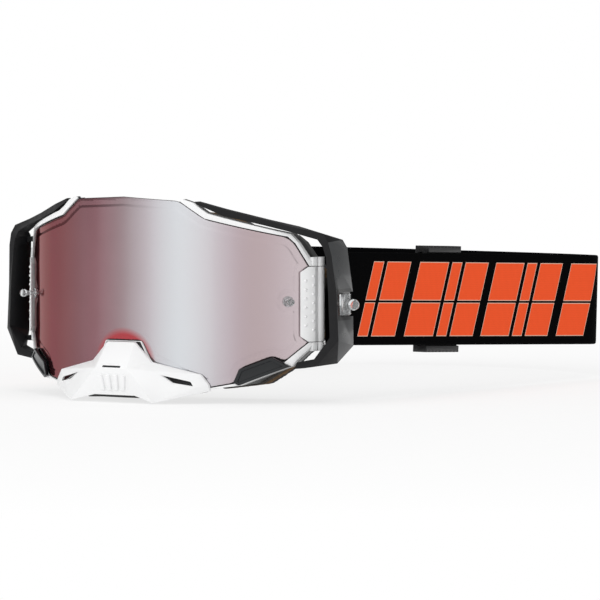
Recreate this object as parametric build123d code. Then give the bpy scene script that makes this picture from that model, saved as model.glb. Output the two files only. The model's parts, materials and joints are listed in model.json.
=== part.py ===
from build123d import *
from math import cos, hypot, radians, sin, sqrt
import os

os.makedirs("parts", exist_ok=True)

# Motorcycle goggles, in millimetres. +X is the wearer's left, +Y runs from the lens
# back to the head, +Z is up. Everything is drawn from the lens's foremost point and
# moved at the end, so that the origin is the middle of the face seal.

# Overall sizes
lens_width = 163.4
lens_height = 91.4
lens_wrap = 51.1  # angle from the middle of the lens to its side edge
lens_to_face = 50.0

# Lens and its seat
lens_thickness = 2.0
lens_gap = 0.4
bezel_gap = 0.3
gasket_thickness = 1.0
ledge_width = 4.0
ledge_thickness = 3.0
bezel_proud = 0.5

# Levers, their hinges and pins
lever_top = 16.8
lever_bottom = -19.4
lever_reach = 1.9  # from the side edge of the lens in to the lever's inner edge
lever_thickness = 2.6
lever_corner = 2.6
barrel_radius = 2.0
lug_height = 4.2
lug_gap = 0.3
pin_radius = 0.9
pin_clearance = 0.05
pin_fit = 0.01

# Clear posts for tear-off films
post_head_radius = 1.9
post_stem_radius = 1.1
post_flange_radius = 2.6
post_length = 6.0
post_flange_thickness = 0.8
post_foot_thickness = 0.7
side_post_length = 5.0
post_block = (7.0, 10.0)
post_block_inner = 95.65
post_block_outer = 98.8

# Nose guard
guard_thickness = 1.7
guard_stand_off = 2.6

# Inner frame and face foam
frame_wall = 1.8
face_radius = 140.0
foam_width = 12.0
foam_layers = {"foam_base": 5.0, "foam_middle": 5.0, "foam_fleece": 2.0}
vent_clearance = 0.15
vents = [  # low and high in x, y and z, on the left half
    (3, 25, 14, 30, 30, 60), (45, 55, 26, 38, 20, 50), (33, 46, 24, 40, -60, -25),
]

# Strap, its bars and sliders
strap_width = 45.0
strap_thickness = 1.6
strap_middle = 1.0  # height of the strap's centre line at its bars
strap_slope = 2.6  # degrees that the strap falls towards the back
strap_straight = 227.5  # from the bar to the start of the rear corner
strap_corner_radius = 25.0
strap_corner_turn = 50.0
strap_tail = 148.0
bar_radius = 1.7
bar_clearance = 0.2
bar_fit = 0.02
bar_x_nominal = 87.2
bar_setback = 7.4  # from the lever's hinge back to the bar
slider_distance = 94.0  # from the bar to the slider's middle
slider_length = 29.0
slider_plate = 2.8
slider_bar = 1.6
slider_bar_width = 4.0
slider_cheek = 3.2
strap_play = 0.4
tooth_pitch = 3.2
bead_width = 3.0
bead_thickness = 0.8
bead_gap = 0.05

# Brackets that hold the strap's bar on the outrigger, and the notch in front of them
bracket_thickness = 2.4
bracket_front = 4.0
bracket_back = 2.6
bracket_inner = 3.4
bracket_outer = 5.6
notch_front = 9.5
notch_back = 5.0
notch_gap = 0.9
notch_middle = -1.3
notch_floor = 95.6  # how far out the notch's floor lies, so the band's inner skin stays

wide = lens_width / 163.4
high = lens_height / 91.4
lens_radius = lens_width / 2 / sin(radians(lens_wrap))
DEEP = 260.0  # longer than any cut


def arc(x, radius=None, apex=0.0):
    """How far back a vertical cylinder's face lies at a distance from the middle."""
    radius = radius or lens_radius
    return apex + radius - sqrt(radius**2 - x**2)


def fitted(points):
    """Half an outline, drawn for the nominal lens, at the size of this lens."""
    return [(x * wide, z * high) for x, z in points]


def mirrored(half):
    """A closed outline from its left half, listed from the top to the bottom."""
    left = [(-x, z) for x, z in reversed(half) if x > 0]
    return half + left


def spread(points, distance):
    """A closed outline moved outwards by a distance, with its corners kept."""
    moved = []
    count = len(points)
    for i, (x, z) in enumerate(points):
        ax, az = points[i - 1]
        bx, bz = points[(i + 1) % count]
        ux, uz = (x - ax) / hypot(x - ax, z - az), (z - az) / hypot(x - ax, z - az)
        vx, vz = (bx - x) / hypot(bx - x, bz - z), (bz - z) / hypot(bx - x, bz - z)
        share = distance / (1 + ux * vx + uz * vz)
        moved.append((x - (uz + vz) * share, z + (ux + vx) * share))
    return moved


def plate(points, front=-DEEP / 2, back=DEEP / 2):
    """An outline in the plane of the face, pushed through from front to back."""
    ring = [Vector(x, front, z) for x, z in points]
    face = Face(Wire.make_polygon(ring))
    return Solid.extrude(face, Vector(0, back - front, 0))


def curved(outer, inner):
    """The space between two radii about the lens's vertical axis."""
    wall = Cylinder(outer, DEEP) - Cylinder(inner, DEEP)
    return Pos(0, lens_radius, 0) * wall


def polyhedron(loops):
    """A solid through a row of point loops, capped at both ends."""
    faces = []
    for here, there in zip(loops, loops[1:]):
        for i in range(len(here)):
            j = (i + 1) % len(here)
            faces.append(Face(Wire.make_polygon([here[i], there[i], there[j]])))
            faces.append(Face(Wire.make_polygon([here[i], there[j], here[j]])))
    for cap in (loops[0], loops[-1]):
        for i in range(1, len(cap) - 1):
            faces.append(Face(Wire.make_polygon([cap[0], cap[i], cap[i + 1]])))
    solid = Solid(Shell(faces))
    return solid if solid.volume > 0 else Solid(Shell([-face for face in faces]))


def box(low, high_corner):
    """A box between two corners."""
    size = [b - a for a, b in zip(low, high_corner)]
    middle = [(a + b) / 2 for a, b in zip(low, high_corner)]
    return Pos(*middle) * Box(*size)


def upright(radius, x, y, bottom, top):
    """A round bar that stands upright."""
    return Pos(x, y, (bottom + top) / 2) * Cylinder(radius, top - bottom)


def flip(shape):
    """The same piece for the other side."""
    return shape.mirror(Plane.YZ)


# Outlines of the lens and the frame, from the top middle to the bottom middle
lens_full = fitted([
    (0, 50), (29.4, 48.4), (41.7, 39.7), (74.8, 31), (77.3, 27.8), (81.7, 17.1),
    (81.7, -19.6), (73.4, -29.1), (55.3, -38.9), (43, -41.4), (15.8, -29.3),
    (10.5, -19.2), (0, -19.2),
])
bezel_half = fitted([
    (0, 49.2), (29.6, 47.6), (31.4, 49.2), (36.5, 47.5), (43, 42.5), (76, 32.6),
    (78.6, 28.4), (82.8, 18.6), (84, 16), (84, -20), (76, -31), (57, -40.3), (43, -42.2),
    (15.3, -30), (10, -19.9), (0, -19.9),
])
clip_half = fitted([(57.6, -32.4), (70.1, -26.7), (76.6, -31.2), (57.4, -40.2), (55.3, -38.9)])
face_half = fitted([
    (0, 41), (28, 40), (42, 33.5), (58, 27), (66, 21.5), (73, 13), (77, 4),
    (78, -4), (76, -13), (70, -21), (64, -27.5), (58, -34), (48, -41),
    (30, -43.5), (20, -38), (11, -22), (0, -16),
])
lens_outline = mirrored(lens_full)

lens_edge = lens_width / 2
foam_depth = sum(foam_layers.values())
hinge_turn = radians(lens_wrap + 3.4)
hinge_radius = lens_radius - 1.0
hinge_x = hinge_radius * sin(hinge_turn)
hinge_y = lens_radius - hinge_radius * cos(hinge_turn)
lever_inner = lens_edge - lever_reach
post_turn = radians(lens_wrap - 5.6)
bar_x = bar_x_nominal * wide
bar_y = hinge_y + bar_setback


def lever_outline(grown=0.0):
    """The lever's pad, from the front, with its two inner corners cut."""
    inner = lever_inner - grown
    outer = hinge_x
    top, bottom = lever_top + grown, lever_bottom - grown
    return [
        (inner, top - lever_corner), (inner + lever_corner, top), (outer, top),
        (outer, bottom), (inner + lever_corner, bottom), (inner, bottom + lever_corner),
    ]


def lens():
    """The curved lens, notched for the levers and the clips, with two post holes."""
    blank = plate(lens_outline) & curved(lens_radius, lens_radius - lens_thickness)
    for cut in (lever_outline(lens_gap), spread(clip_half, lens_gap)):
        tool = plate(cut)
        blank = blank - tool - flip(tool)
    hole = radial(Cylinder(post_stem_radius + pin_fit, 12), 0)
    return blank - hole - flip(hole)


def radial(shape, lift):
    """Stands a piece on the lens beside the left lever, along its outward normal."""
    reach = lens_radius + lift
    place = (reach * sin(post_turn), lens_radius - reach * cos(post_turn), 0)
    outward = (sin(post_turn), -cos(post_turn), 0)
    return Plane(origin=place, z_dir=outward).location * shape


def lens_post():
    """A clear post through the lens: flange, stem and round head."""
    behind = lens_thickness + post_foot_thickness
    stem = radial(Cylinder(post_stem_radius, post_length + behind), (post_length - behind) / 2)
    flange = radial(Cylinder(post_flange_radius, post_flange_thickness), post_flange_thickness / 2 + 0.05)
    head = radial(Sphere(post_head_radius), post_length)
    foot_lift = -lens_thickness - post_foot_thickness / 2 - 0.05
    foot = radial(Cylinder(post_stem_radius + 0.6, post_foot_thickness), foot_lift)
    return stem + flange + head + foot


def gasket():
    """The soft seal between the lens and its ledge."""
    outer = spread(lens_outline, -1.2)
    inner = spread(lens_outline, -ledge_width + 0.6)
    front = lens_radius - lens_thickness - 0.1
    ring = (plate(outer) - plate(inner)) & curved(front, front - gasket_thickness)
    foot = radial(Cylinder(post_flange_radius + 0.6, 8), -lens_thickness)
    return ring - foot - flip(foot)


def lens_frame():
    """The white frame round the lens, with its ledge and the lever lugs."""
    back = lens_radius - lens_thickness - gasket_thickness - ledge_thickness - 0.2
    ledge_front = back + ledge_thickness
    seat = plate(spread(lens_outline, lens_gap))
    outer = plate(mirrored(bezel_half))
    rim = (outer & curved(lens_radius + bezel_proud, ledge_front)) - seat
    ledge = outer & plate(spread(lens_outline, lens_gap + 0.4)) & curved(ledge_front, back)
    ring = rim + ledge - plate(spread(lens_outline, -ledge_width))
    room = plate(lever_outline(lug_gap)) & curved(lens_radius + 5, lens_radius - lever_thickness)
    swing = upright(barrel_radius + lug_gap, hinge_x, hinge_y, lever_bottom - lug_gap, lever_top + lug_gap)
    ring = ring - room - flip(room) - swing - flip(swing)
    for bottom, top in lug_levels():
        lug = upright(barrel_radius, hinge_x, hinge_y, bottom, top)
        web = box((lens_edge - 1, hinge_y - 4.6, bottom), (hinge_x, hinge_y + 1, top))
        web = web & curved(lens_radius + 0.8, lens_radius - 5)
        lug = lug + web - plate(spread(lens_outline, lens_gap))
        ring = ring + lug + flip(lug)
    bore = upright(pin_radius + pin_fit, hinge_x, hinge_y, lever_bottom - 9, lever_top + 9)
    return ring - bore - flip(bore)


def lug_levels():
    """Bottom and top of the lower and the upper hinge lug."""
    low = lever_bottom - lug_gap
    top = lever_top + lug_gap
    return [(low - lug_height, low), (top, top + lug_height)]


def lever():
    """The left release lever: a curved pad on a hinge barrel."""
    skin = curved(lens_radius + 1.6, lens_radius + 1.6 - lever_thickness)
    pad = plate(lever_outline()) & skin
    barrel = upright(barrel_radius, hinge_x, hinge_y, lever_bottom, lever_top)
    bore = upright(pin_radius + pin_clearance, hinge_x, hinge_y, lever_bottom - 1, lever_top + 1)
    return pad + barrel - bore


def lever_pin():
    """The pin through the lever and its two lugs."""
    (low, _), (_, top) = lug_levels()
    return upright(pin_radius, hinge_x, hinge_y, low, top)


def lens_clip():
    """The glossy clip that covers the lower corner of the lens frame."""
    front = lens_radius + 2.4
    body = plate(clip_half) & curved(front, lens_radius + bezel_proud + 0.1)
    panel = plate(spread(clip_half, -1.4)) & curved(front + 1, front - 0.6)
    return body - panel


def outrigger_loops():
    """Sections of the left outrigger: front inner, crest, rear outer, rear inner."""
    table = [
        [(38.5, 6.8, 46.8), (37.8, 6.0, 48.2), (38.3, 10, 48.2), (38.9, 10, 46.8)],
        [(50, 12.0, 41.4), (48.5, 11.0, 44.9), (49, 17, 44.6), (50.4, 17, 41.4)],
        [(66, 23.0, 36.9), (65, 22.2, 39.9), (66, 29, 39.4), (66.8, 29, 36.8)],
        [(76, 28.5, 34.1), (76.5, 28.9, 36.6), (77.5, 37, 36.2), (77, 37, 34.0)],
        [(88.6, 36.0, 30.0), (91.4, 37.0, 32.8), (91.3, 45.5, 31.2), (88.8, 45.0, 29.2)],
        [(91.3, 36.8, 26.2), (94.0, 37.1, 28.8), (93.6, 50.5, 29.6), (91.2, 49.8, 27.4)],
        [(92.6, 37.3, 21.5), (95.5, 37.8, 22.8), (94.9, 52.5, 25.7), (92.1, 51.6, 23.6)],
        [(94.0, 37.2, 4), (97.2, 39.8, 4), (97.2, 54, 4), (94.4, 53.6, 4)],
        [(94.9, 37.2, -17.0), (98.3, 39.8, -18.5), (97.5, 54, -21.5), (94.7, 53.5, -20.0)],
        [(87.0, 35.5, -27.5), (88.6, 35.0, -31.0), (93.5, 46, -29.9), (90.8, 46, -26.9)],
        [(78.6, 33.2, -29.2), (77.6, 32.4, -32.4), (78.6, 39, -32.4), (79.4, 39, -29.2)],
    ]
    shift = arc(lens_edge) - 38.98
    return [
        [Vector(x * wide, y + shift * min(1, x * wide / lens_edge), z * high) for x, y, z in loop]
        for loop in table
    ]


def bracket_levels():
    """Bottom and top of the two brackets that hold the strap's bar."""
    half = strap_width / 2 + bar_clearance + 0.5
    middle = strap_middle
    low, top = middle - half, middle + half
    return [(low - bracket_thickness, low), (top, top + bracket_thickness)]


def outrigger(notched):
    """The left outrigger: brow bar, side band and lower arm round an open window."""
    band = polyhedron(outrigger_loops())
    for bottom, top in bracket_levels():
        inner, outer = bar_x - bracket_inner, bar_x + bracket_outer * wide
        band = band + box((inner, bar_y - bracket_front, bottom), (outer, bar_y + bracket_back, top))
    bore = tilted(upright(bar_radius + bar_fit, bar_x, bar_y, -40 * high, 40 * high))
    if not notched:
        return band - bore
    half = post_block[1] / 2 + notch_gap
    notch = box(
        (notch_floor * wide, bar_y - notch_front, notch_middle - half),
        (110 * wide, bar_y + notch_back, notch_middle + half),
    )
    return band - bore - notch


def outrigger_post():
    """The clear block in the outrigger's notch, with its ball-headed post."""
    width, height = post_block
    middle = notch_middle
    y = bar_y - notch_front + lens_gap + width / 2
    low = (post_block_inner * wide, y - width / 2, middle - height / 2)
    top = (post_block_outer * wide, y + width / 2, middle + height / 2)
    stem = Pos(top[0] + side_post_length / 2 - 1, y, middle) * Rot(0, 90, 0)
    head = Pos(top[0] + side_post_length - 1, y, middle) * Sphere(post_head_radius + 0.8)
    collar = Pos(top[0] + 0.6, y, middle) * Rot(0, 90, 0) * Cylinder(post_flange_radius, 1.2)
    return box(low, top) + stem * Cylinder(post_stem_radius + 0.3, side_post_length) + head + collar


def strap_bar():
    """The bar that the strap turns round."""
    (low, _), (_, top) = bracket_levels()
    return tilted(upright(bar_radius, bar_x, bar_y, low, top))


def guard_front():
    """Corners of the nose guard's left half, from the front."""
    def on_lens(x, z, lift=guard_stand_off):
        return (x * wide, arc(x * wide) - lift, z * high)

    return {
        "top": on_lens(7.9, -20.1, 2.6),
        "shoulder": on_lens(17.3, -29.5),
        "wing_top": on_lens(41.0, -35.0),
        "wing_end": on_lens(44.5, -39.8),
        "tip": on_lens(45.2, -42.9),
        "fang": (24.3 * wide, -10.0, -48.6 * high),
        "low": (12.0 * wide, -8.0, -45.5 * high),
        "panel": (9.2 * wide, -10.7, -32.5 * high),
    }


def nose_guard():
    """The white faceted nose guard with a vent in each wing."""
    p = guard_front()
    right = {name: Vector(*place) for name, place in p.items()}
    left = {name: Vector(-x, y, z) for name, (x, y, z) in p.items()}
    facets = []
    for side in (right, left):
        facets += [
            [side["top"], side["panel"], side["shoulder"]],
            [side["shoulder"], side["panel"], side["wing_top"]],
            [side["wing_top"], side["panel"], side["fang"]],
            [side["wing_top"], side["fang"], side["wing_end"]],
            [side["wing_end"], side["fang"], side["tip"]],
            [side["panel"], side["low"], side["fang"]],
        ]
    facets += [
        [left["top"], left["panel"], right["panel"]],
        [left["top"], right["panel"], right["top"]],
        [left["panel"], left["low"], right["low"]],
        [left["panel"], right["low"], right["panel"]],
    ]
    body = None
    for facet in facets:
        slab = Solid.extrude(Face(Wire.make_polygon(facet)), Vector(0, guard_thickness, 0))
        body = slab if body is None else body + slab
    vent = plate(fitted([(24.5, -35.4), (37.6, -38.4), (38.8, -40.6), (30, -39)]), -20, 30)
    return body - vent - flip(vent)


def nose_insert():
    """The black nose piece in the frame's notch, behind the guard."""
    outline = mirrored(fitted([
        (0, -15), (13, -18), (22, -30), (42, -41), (40, -43.8), (22, -47.6), (13, -47.2), (0, -47.2),
    ]))
    block = plate(outline) & curved(lens_radius, frame_seat() + bezel_gap)
    return block - plate(spread(mirrored(bezel_half), bezel_gap))


def face_block(depth):
    """Everything behind the face's curve, at a depth in front of the seal."""
    radius = face_radius * wide
    return Pos(0, lens_to_face - depth + radius, 0) * Cylinder(radius, DEEP)


def frame_seat():
    """The radius where the inner frame meets the back of the lens frame's ledge."""
    return lens_radius - lens_thickness - gasket_thickness - ledge_thickness - 0.4


def face_wall():
    """The whole soft inner frame, before its vents: a wall and a front flange."""
    outline = mirrored(face_half)
    inside = plate(spread(outline, -frame_wall))
    inner_space = Pos(0, lens_radius, 0) * Cylinder(frame_seat(), DEEP)
    wall = (plate(outline) - inside) & inner_space
    opening = inside & plate(spread(lens_outline, -ledge_width))
    flange = plate(outline) + plate(spread(lens_outline, -1))
    flange = (flange & curved(frame_seat(), frame_seat() - frame_wall)) - opening
    return wall + flange - face_block(foam_depth)


def vent_boxes(grown):
    """The places of the vents along the top and the bottom of the inner frame."""
    boxes = []
    for low_x, high_x, low_y, high_y, low_z, high_z in vents:
        piece = box(
            (low_x * wide - grown, low_y - grown, low_z),
            (high_x * wide + grown, high_y + grown, high_z),
        )
        boxes += [piece, flip(piece)]
    return boxes


def face_frame():
    """The soft inner frame with its vents cut."""
    wall = face_wall()
    for piece in vent_boxes(0):
        wall = wall - piece
    return wall


def vent_foam(top):
    """The open foam in the vents, above or below."""
    pieces = [b for b in vent_boxes(-vent_clearance) if (b.center().Z > 0) == top]
    wall = face_wall()
    return Compound(children=[solid for b in pieces for solid in (wall & b).solids()])


def foam_layer(name):
    """One layer of the face foam, a ring that follows the face."""
    names = list(foam_layers)
    depth = foam_depth - sum(foam_layers[n] for n in names[: names.index(name)])
    outline = spread(mirrored(face_half), 0.8)
    ring = plate(outline) - plate(spread(outline, -foam_width))
    return (ring & face_block(depth)) - face_block(depth - foam_layers[name])


def tilted(shape):
    """Turns a strap piece about the bars, so that the strap falls towards the back."""
    return shape.rotate(Axis((0, bar_y, strap_middle), (1, 0, 0)), -strap_slope)


strap_turn = bar_radius + bar_clearance + strap_thickness / 2
strap_x = bar_x + strap_turn
tail_x = bar_x - strap_turn
corner_y = bar_y + strap_straight


def strap_edge(offset):
    """One edge of the strap's section from above, at a distance from its middle."""
    radius = strap_corner_radius + offset
    turn = radians(strap_corner_turn)
    corner_x = strap_x - strap_corner_radius
    joint = (corner_x + radius * cos(turn), corner_y + radius * sin(turn))
    middle = (corner_x + radius * cos(turn / 2), corner_y + radius * sin(turn / 2))
    rear = corner_x / cos(turn) + radius
    peak = joint[1] + rear * (1 - sin(turn))
    edges = [ThreePointArc(joint, (0, peak), (-joint[0], joint[1]))]
    for side in (1, -1):
        front = (side * (strap_x + offset), bar_y)
        corner = (side * (strap_x + offset), corner_y)
        bend = (side * bar_x, bar_y - strap_turn - offset)
        inner = (side * (tail_x - offset), bar_y)
        edges.append(ThreePointArc(corner, (side * middle[0], middle[1]), (side * joint[0], joint[1])))
        edges.append(Line(front, corner))
        edges.append(ThreePointArc(front, bend, inner))
        edges.append(Line(inner, (inner[0], bar_y + strap_tail)))
    return edges


def strap_section():
    """The strap from above: a long band, doubled back round each bar."""
    half = strap_thickness / 2
    edges = strap_edge(-half) + strap_edge(half)
    for side in (1, -1):
        end = bar_y + strap_tail
        edges.append(Line((side * (tail_x - half), end), (side * (tail_x + half), end)))
    return Face(Wire.combine(edges)[0])


def strap():
    """The elastic strap: one long band, doubled back round each bar."""
    section = Pos(0, 0, strap_middle - strap_width / 2) * strap_section()
    return tilted(Solid.extrude(section, Vector(0, 0, strap_width)))


def beads():
    """Silicone grip lines inside the strap, along each side."""
    pieces = []
    inner = strap_x - strap_thickness / 2 - bead_gap
    for level in (-14, 0, 14):
        low = (inner - bead_thickness, bar_y + strap_tail + 12, strap_middle + level - bead_width / 2)
        top = (inner, corner_y - 6, strap_middle + level + bead_width / 2)
        piece = tilted(box(low, top))
        pieces += [piece, flip(piece)]
    return Compound(children=pieces)


def slider():
    """The left slider: a plate between the strap's layers, bars behind, toothed cheeks."""
    y = bar_y + slider_distance
    half = slider_length / 2
    edge = strap_width / 2 + strap_play
    plate_x = (tail_x + strap_x) / 2
    back = tail_x - strap_thickness / 2 - strap_play
    low, top = strap_middle - edge, strap_middle + edge
    body = box((plate_x - slider_plate / 2, y - half, low), (plate_x + slider_plate / 2, y + half, top))
    reach = slider_bar_width / 2
    for end in (-1, 0, 1):
        rung = y + end * (half - reach)
        body = body + box((back - slider_bar, rung - reach, low), (back, rung + reach, top))
    outside = plate_x + slider_plate / 2 + 1.2
    for level, out in ((low, -1), (top, 1)):
        levels = sorted((level, level + out * slider_cheek))
        body = body + box((back - slider_bar, y - half, levels[0]), (outside, y + half, levels[1]))
        for i in range(int(slider_length / tooth_pitch)):
            tooth = y - half + (i + 0.5) * tooth_pitch + 0.3
            edge_z = level + out * slider_cheek
            groove = box((back - 9, tooth - 0.6, edge_z - 0.7), (outside + 9, tooth + 0.6, edge_z + 0.7))
            body = body - groove
    return tilted(body)


def save(name, shape):
    """Writes one node, moved so that the face seal is the origin."""
    moved = shape.moved(Location((0, -lens_to_face, 0)))
    export_step(moved, "parts/" + name + ".step")


single = {
    "lens": lens(),
    "lens_gasket": gasket(),
    "lens_frame": lens_frame(),
    "face_frame": face_frame(),
    "vent_foam_top": vent_foam(True),
    "vent_foam_bottom": vent_foam(False),
    "nose_guard": nose_guard(),
    "nose_insert": nose_insert(),
    "strap_webbing": strap(),
    "silicone_beads": beads(),
    "outrigger_left": outrigger(True),
    "outrigger_right": flip(outrigger(False)),
    "outrigger_post_left": outrigger_post(),
}
for layer in foam_layers:
    single[layer] = foam_layer(layer)
for name, shape in single.items():
    save(name, shape)

paired = {
    "lever": lever(),
    "lever_pin": lever_pin(),
    "lens_clip": lens_clip(),
    "lens_post": lens_post(),
    "strap_bar": strap_bar(),
    "strap_slider": slider(),
}
for name, shape in paired.items():
    save(name + "_left", shape)
    save(name + "_right", flip(shape))
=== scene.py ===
import json
from math import atan2, cos, degrees, dist, hypot, pi, radians, sin, sqrt

import bmesh
import bpy
import numpy as np
from bpy.props import FloatProperty, FloatVectorProperty, PointerProperty
from mathutils import Matrix, Vector, noise
from mathutils.bvhtree import BVHTree
from mathutils.geometry import delaunay_2d_cdt


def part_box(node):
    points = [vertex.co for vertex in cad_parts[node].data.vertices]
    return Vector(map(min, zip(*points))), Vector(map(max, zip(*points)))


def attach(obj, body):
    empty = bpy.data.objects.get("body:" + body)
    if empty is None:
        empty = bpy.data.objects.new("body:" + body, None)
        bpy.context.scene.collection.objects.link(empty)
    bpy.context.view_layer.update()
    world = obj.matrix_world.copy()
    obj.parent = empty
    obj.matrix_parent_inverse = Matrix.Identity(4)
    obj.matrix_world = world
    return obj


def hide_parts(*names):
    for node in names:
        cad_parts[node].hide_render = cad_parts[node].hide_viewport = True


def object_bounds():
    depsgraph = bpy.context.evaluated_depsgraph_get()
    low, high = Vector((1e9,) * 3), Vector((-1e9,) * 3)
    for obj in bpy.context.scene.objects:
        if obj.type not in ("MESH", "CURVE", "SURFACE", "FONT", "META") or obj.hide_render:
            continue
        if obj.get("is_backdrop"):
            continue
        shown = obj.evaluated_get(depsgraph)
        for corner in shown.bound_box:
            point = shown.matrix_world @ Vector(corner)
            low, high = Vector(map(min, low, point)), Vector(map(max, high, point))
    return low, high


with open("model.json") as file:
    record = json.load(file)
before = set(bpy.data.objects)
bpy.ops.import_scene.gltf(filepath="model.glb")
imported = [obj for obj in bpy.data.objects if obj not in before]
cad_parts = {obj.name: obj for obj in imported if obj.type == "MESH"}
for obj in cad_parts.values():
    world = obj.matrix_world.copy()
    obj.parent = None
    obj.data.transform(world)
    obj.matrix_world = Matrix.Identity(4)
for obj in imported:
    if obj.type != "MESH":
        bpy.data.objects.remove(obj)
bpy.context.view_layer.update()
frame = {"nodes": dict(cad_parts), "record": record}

bl_info = {
    "name": "Motorcycle goggles",
    "version": (1, 0, 0),
    "blender": (4, 5, 0),
    "location": "3D View > Sidebar > Goggles",
    "description": "Dresses the goggles' frame with finished lens, shells, foam and strap",
    "category": "Object",
}

MM = 0.001
SIDES = (("left", 1), ("right", -1))
MERGE = 0.004 * MM  # points of a node's mesh that are nearer than this are one
BODY_OF = {
    node: body for body, nodes in frame["record"]["behaviour"]["bodies"].items() for node in nodes
}
DONE = {"FINISHED"}

# Strap print and weave
STRAP_BARS = (  # start and width of each printed bar, in millimetres behind the outrigger's bar
    (23, 9), (35, 21), (64, 26), (93, 9), (105, 21), (133, 26), (162, 9), (174, 21), (203, 26),
)
BAR_SLANT = -0.36
BAR_HALF = 0.0182  # half the bars' height across the strap
SLIT_PLACE, SLIT_HALF = -0.0012, 0.0005  # the dark line along the bars
OUTLINE = 0.00035
RIB_PITCH, YARN_PITCH = 0.0011, 0.0009
WEAVE_LIGHT = (0.0018, 0.0018, 0.002)
SELVEDGE = 0.0012

# Places on the nose guard
RIB_PLACES = (-0.0063, -0.0021, 0.0021, 0.0063)
RIB_HEIGHT = -0.0393
SLOT_HEIGHT = -0.0317
NOSE_ARCH = -0.031  # centre of the red glow round the nose

# Stage
VIEW_TARGET = Vector((0.0707, -0.0023, 0.0))
VIEW_TURN, VIEW_RISE, VIEW_DISTANCE = 34, 3, 4.0
BEHIND = (0, 0.05, 0)


# Sizes and colours that a user may change


def length(name, about, value):
    return FloatProperty(name=name, description=about, default=value, subtype="DISTANCE", unit="LENGTH")


def colour(name, about, value):
    return FloatVectorProperty(
        name=name, description=about, default=value, subtype="COLOR", size=3, min=0, max=1
    )


class GogglesSizes(bpy.types.PropertyGroup):
    shell_round: length("Shell rounding", "Rounding of the hard shells' edges", 0.00045)
    fine_round: length("Fine rounding", "Rounding of the small parts' edges", 0.00025)
    lens_grid: length("Lens grid", "Distance between the points of the lens's mesh", 0.0009)
    lens_border: length("Lens border", "Width of the lens's lower border", 0.0037)
    lens_ramp: length("Lens ramp", "Width of the slope inside the border", 0.0006)
    lens_step: length("Lens step", "Height of the lens above its border", 0.0002)
    lens_corner: length("Lens corners", "Radius of the lens's corners", 0.0026)
    # Painted shade: how deep behind the lens's front the white rim is painted black for the gap's shade.
    rim_shade_depth: length("Seat depth", "How far behind the lens's front the white rim turns black", 0.0009)
    lens_wall: length("Lens wall", "Thickness of the lens", 0.0018)
    dot_radius: length("Grip dot radius", "Radius of a grip dot on the levers", 0.00075)
    dot_height: length("Grip dot height", "Height of a grip dot on the levers", 0.0005)
    dot_pitch: length("Grip dot pitch", "Distance between the dots of a column", 0.0043)
    strap_wall: length("Strap thickness", "Thickness of the strap", 0.0016)
    strap_width: length("Strap width", "Width of the strap", 0.045)
    strap_straight: length("Strap straight", "Length of the strap's straight sides", 0.2275)
    strap_bend: FloatProperty(
        name="Strap bend",
        description="Turn of the strap's rear corners",
        default=radians(50),
        subtype="ANGLE",
    )
    strap_fall: FloatProperty(
        name="Strap fall",
        description="Slope of the strap towards the back",
        default=radians(2.6),
        subtype="ANGLE",
    )
    strap_corner: length("Strap corner", "Radius of the strap's rear corners", 0.025)
    strap_tail: length("Strap tail", "Length of the strap doubled back", 0.148)
    foam_voxel: length("Foam voxel", "Size of the foam's mesh", 0.0010)
    stitch_pitch: length("Stitch pitch", "Distance between stitches", 0.0021)


class GogglesColours(bpy.types.PropertyGroup):
    white: colour("White", "Lens frame, levers and nose guard", (0.9, 0.903, 0.906))
    grey: colour("Grey", "Outriggers", (0.044, 0.046, 0.048))
    # Painted shade: a darker grey for the outriggers' faces that turn away from the light.
    dark: colour("Dark grey", "Outriggers' front, lower and inner faces", (0.009, 0.009, 0.010))
    gloss: colour("Gloss black", "Lens clips", (0.012, 0.014, 0.016))
    black: colour("Black", "Sliders, bars and nose insert", (0.012, 0.012, 0.013))
    rubber: colour("Rubber", "Inner frame", (0.010, 0.010, 0.010))
    foam: colour("Foam", "First layer of the face foam", (0.05, 0.045, 0.04))
    foam_brown: colour("Brown foam", "Second layer of the face foam", (0.12, 0.075, 0.04))
    fleece: colour("Fleece", "Layer against the face", (0.022, 0.022, 0.024))
    webbing: colour("Webbing", "Ground of the strap", (0.0016, 0.0016, 0.002))
    print_main: colour("Print", "Main print colour of the strap", (1.0, 0.115, 0.034))
    print_edge: colour("Print edge", "Thin outline round the print", (0.85, 0.55, 0.42))
    clear: colour("Clear", "Tear-off posts", (0.93, 0.95, 0.96))
    floor: colour("Floor", "Floor under the goggles", (0.9, 0.9, 0.9))


def sizes():
    return bpy.context.scene.goggles_sizes


def colours():
    return bpy.context.scene.goggles_colours


# Materials


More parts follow.
